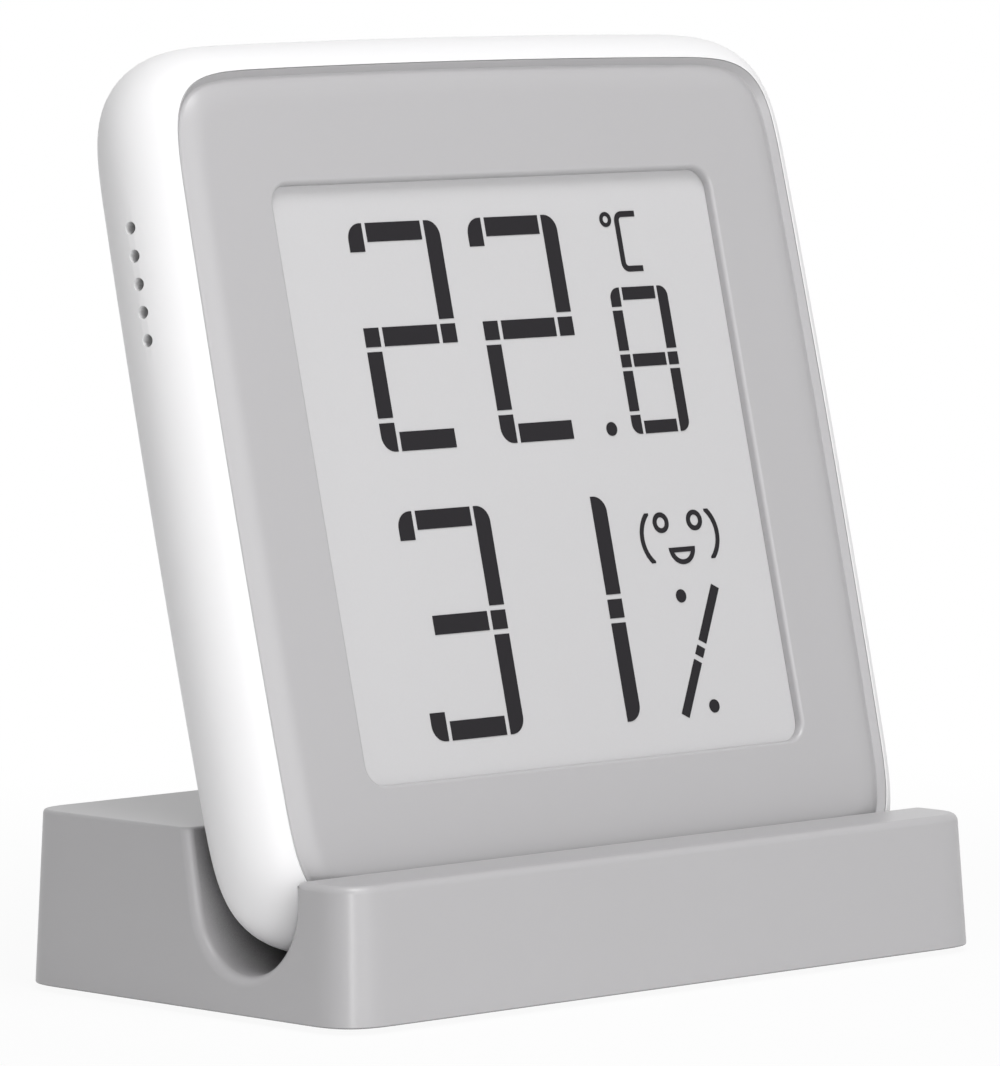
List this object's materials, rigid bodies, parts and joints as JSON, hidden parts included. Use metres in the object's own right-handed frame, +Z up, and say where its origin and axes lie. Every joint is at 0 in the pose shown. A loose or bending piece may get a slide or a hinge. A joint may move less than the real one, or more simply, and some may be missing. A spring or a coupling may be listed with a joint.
{
  "type": "temperature humidity sensor",
  "caption": "Small desk thermometer and hygrometer: a flat square head with a segment display leans back in the slot of a drafted block stand, with a coin-cell door and a unit button behind.",
  "frame": {"origin": "centre of the stand's footprint, on the surface that its rubber pad rests on", "axes": "+X to the right as the display is read, +Y from the front to the back, +Z up; the display faces -Y and leans back by 13.25 degrees"},
  "size_m": [0.0614, 0.0356, 0.0658],
  "materials": {
    "gray_plastic": "light gray moulded plastic with a fine matte grain",
    "white_plastic": "white moulded plastic, satin",
    "paper_display": "pale gray reflective display film, matte",
    "display_ink": "dark display segments, matte",
    "pad_rubber": "soft dark gray rubber",
    "gasket_foam": "thin black closed-cell foam",
    "flex_film": "amber flexible film",
    "ivory_plastic": "ivory connector plastic",
    "board_laminate": "green circuit board with solder mask",
    "black_plastic": "black moulded plastic",
    "ceramic": "tan ceramic with tinned ends",
    "steel": "plain nickel-plated steel"
  },
  "bodies": {
    "stand": {"stand_body": "gray_plastic", "base_plate": "gray_plastic", "stand_screws": "steel", "foot_pad": "pad_rubber"},
    "head": {"rear_shell": "white_plastic", "front_bezel": "gray_plastic", "panel_gasket": "gasket_foam", "epaper_panel": "paper_display", "display_segments": "display_ink", "panel_foam": "gasket_foam", "panel_flex": "flex_film", "flex_connector": "ivory_plastic", "main_board": "board_laminate", "board_screws": "steel", "controller_chip": "black_plastic", "clock_crystal": "steel", "capacitors": "ceramic", "climate_sensor": "black_plastic", "battery_holder": "white_plastic", "negative_contact": "steel", "positive_contact": "steel", "coin_cell": "steel", "switch_base": "black_plastic"},
    "door": {"battery_door": "white_plastic"},
    "button": {"unit_button": "gray_plastic", "switch_plunger": "black_plastic"}
  },
  "joints": [
    {"name": "head_lift", "type": "slide", "parent": "stand", "child": "head", "axis": [0, 0.2292, 0.9734], "range_m": [0, 0.02]},
    {"name": "door_twist", "type": "hinge", "parent": "head", "child": "door", "pos_m": [0, 0.00451, 0.03496], "axis": [0, 0.9734, -0.2292], "range_deg": [0, 30]},
    {"name": "button_press", "type": "slide", "parent": "head", "child": "button", "axis": [0, -0.9734, 0.2292], "range_m": [0, 0.0003], "stiffness_N_per_m": 2000, "springref_m": -0.0003}
  ]
}
